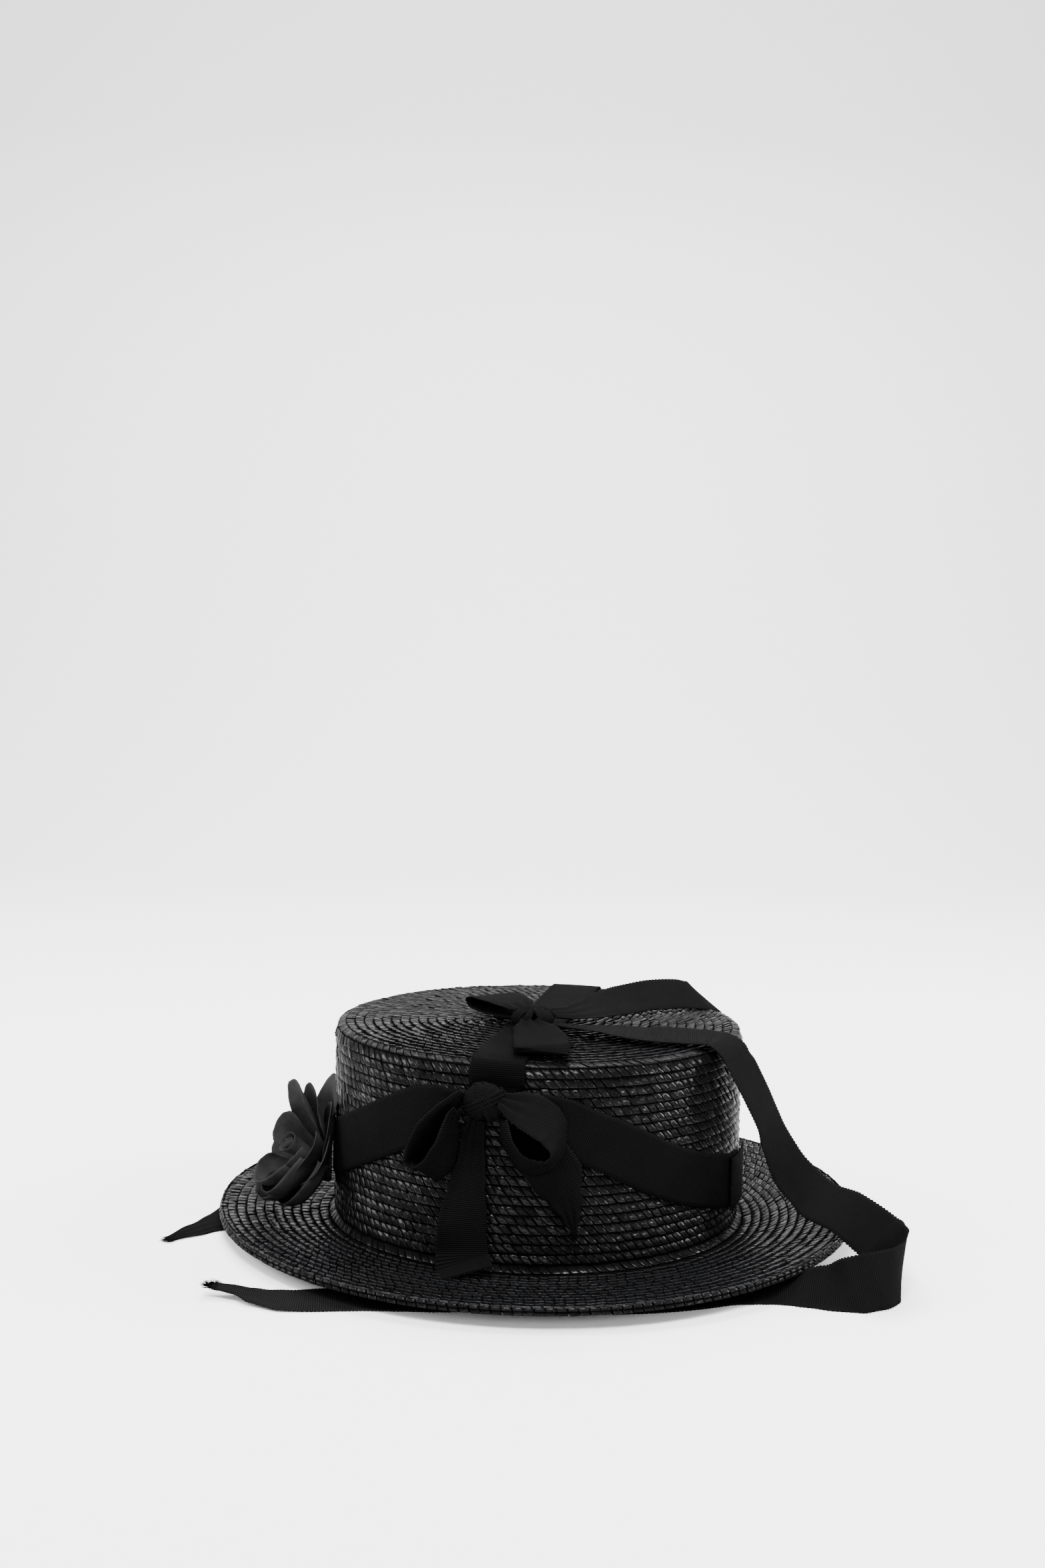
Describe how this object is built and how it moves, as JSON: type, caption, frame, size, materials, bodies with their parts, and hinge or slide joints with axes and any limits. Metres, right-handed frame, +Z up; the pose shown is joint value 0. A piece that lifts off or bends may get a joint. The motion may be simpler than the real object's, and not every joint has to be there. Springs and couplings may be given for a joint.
{
  "type": "boater hat",
  "caption": "Flat-topped straw boater with a ribbon band, bows on its side and top, long ribbon ends and a cloth rose.",
  "frame": {"origin": "centre of the head opening, at the level of the floor that the hat stands on", "axes": "+Z up out of the crown; +X along the long axis, away from the rose; -Y to the side with the bow"},
  "size_m": [0.342, 0.3175, 0.1115],
  "materials": {
    "straw": "black lacquered sewn straw braid",
    "ribbon": "matt black ribbed petersham ribbon",
    "rose_cloth": "matt black cloth"
  },
  "bodies": {
    "root": {"straw_body": "straw", "crown_ribbon": "ribbon", "side_band": "ribbon", "side_band_right": "ribbon", "tab_near": "ribbon", "tab_far": "ribbon", "side_knot": "ribbon", "side_loop_left": "ribbon", "side_loop_right": "ribbon", "side_tail_left": "ribbon", "side_tail_right": "ribbon", "top_knot": "ribbon", "top_loop_left": "ribbon", "top_loop_front": "ribbon", "long_tail_right": "ribbon", "long_tail_back": "ribbon", "rose_base": "rose_cloth", "rose_petal_01": "rose_cloth", "rose_petal_02": "rose_cloth", "rose_petal_03": "rose_cloth", "rose_petal_04": "rose_cloth", "rose_petal_05": "rose_cloth", "rose_petal_06": "rose_cloth", "rose_petal_07": "rose_cloth", "rose_petal_08": "rose_cloth", "rose_petal_09": "rose_cloth", "rose_petal_10": "rose_cloth", "rose_petal_11": "rose_cloth", "rose_petal_12": "rose_cloth", "rose_petal_13": "rose_cloth", "rose_petal_14": "rose_cloth", "rose_bud": "rose_cloth"}
  },
  "joints": []
}
